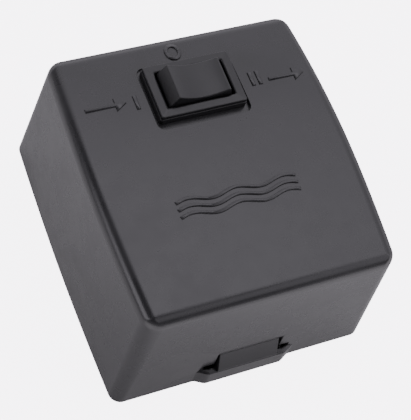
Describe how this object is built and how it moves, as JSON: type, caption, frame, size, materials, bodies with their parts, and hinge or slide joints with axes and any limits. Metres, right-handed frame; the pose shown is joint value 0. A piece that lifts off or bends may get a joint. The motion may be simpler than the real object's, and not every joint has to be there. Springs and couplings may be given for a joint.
{
  "type": "fan reversing switch box",
  "caption": "Black surface-mount switch box for a reversible ventilation fan, with a three-position rocker, a clip-on cover, a rear plate and internal wiring.",
  "frame": {"origin": "bottom centre of the whole box: the middle of its wall side", "axes": "+X across the front face towards the side on which the rocker is pressed in, +Y up the front face away from the latch, +Z out of the front face away from the wall"},
  "size_m": [0.0824, 0.0906, 0.0553],
  "materials": {
    "shell_black": "satin moulded black plastic, faint mottling",
    "switch_black": "fine satin black plastic",
    "base_black": "matt moulded black plastic",
    "rubber_black": "matt black rubber",
    "nylon_white": "natural white nylon",
    "capacitor_grey": "matt grey plastic case",
    "resin_dark": "poured dark resin",
    "steel": "bright zinc-plated steel",
    "zinc_plate": "zinc-plated sheet steel",
    "brass": "plain brass",
    "copper_alloy": "plain copper alloy",
    "sleeve_nylon": "milky nylon",
    "lead_blue": "blue PVC insulation",
    "lead_brown": "brown PVC insulation",
    "lead_black": "black PVC insulation"
  },
  "bodies": {
    "root": {"cover": "shell_black", "base_plate": "base_black", "switch_housing": "switch_black", "terminal_left": "copper_alloy", "terminal_mid": "copper_alloy", "terminal_right": "copper_alloy", "sleeve_left": "sleeve_nylon", "sleeve_mid": "sleeve_nylon", "sleeve_right": "sleeve_nylon", "terminal_block": "nylon_white", "run_capacitor": "capacitor_grey", "capacitor_resin": "resin_dark", "capacitor_strap": "zinc_plate", "strap_screw_1": "steel", "strap_screw_2": "steel", "cable_grommet": "rubber_black", "cable_clamp": "nylon_white", "cable_clamp_screw_1": "steel", "cable_clamp_screw_2": "steel", "block_screw_1": "steel", "block_screw_2": "steel", "lead_left": "lead_blue", "lead_mid": "lead_brown", "lead_right": "lead_black", "capacitor_lead_1": "lead_blue", "capacitor_lead_2": "lead_black", "terminal_clamp_1": "brass", "terminal_clamp_2": "brass", "terminal_clamp_3": "brass", "terminal_clamp_4": "brass", "clamp_screw_1": "steel", "clamp_screw_2": "steel", "clamp_screw_3": "steel", "clamp_screw_4": "steel", "clamp_screw_5": "steel", "clamp_screw_6": "steel", "clamp_screw_7": "steel", "clamp_screw_8": "steel"},
    "rocker": {"rocker": "switch_black", "rocker_pin": "steel", "plunger": "brass", "plunger_spring": "steel"},
    "moving_contact": {"moving_contact": "copper_alloy"},
    "latch_arm": {"latch_arm": "base_black"}
  },
  "joints": [
    {"name": "rocker_tilt", "type": "hinge", "parent": "root", "child": "rocker", "pos_m": [0, 0.024, 0.049], "axis": [0, 1, 0], "range_deg": [-10, 0]},
    {"name": "contact_tilt", "type": "hinge", "parent": "root", "child": "moving_contact", "pos_m": [0, 0.024, 0.0376], "axis": [0, 1, 0], "range_deg": [0, 6]},
    {"name": "latch_flex", "type": "hinge", "parent": "root", "child": "latch_arm", "pos_m": [0, -0.0425, 0.0033], "axis": [-1, 0, 0], "range_deg": [0, 8], "stiffness_Nm_per_rad": 0.02}
  ],
  "couplings": [
    {"joint": "contact_tilt", "follows": "rocker_tilt", "ratio": -0.6}
  ]
}
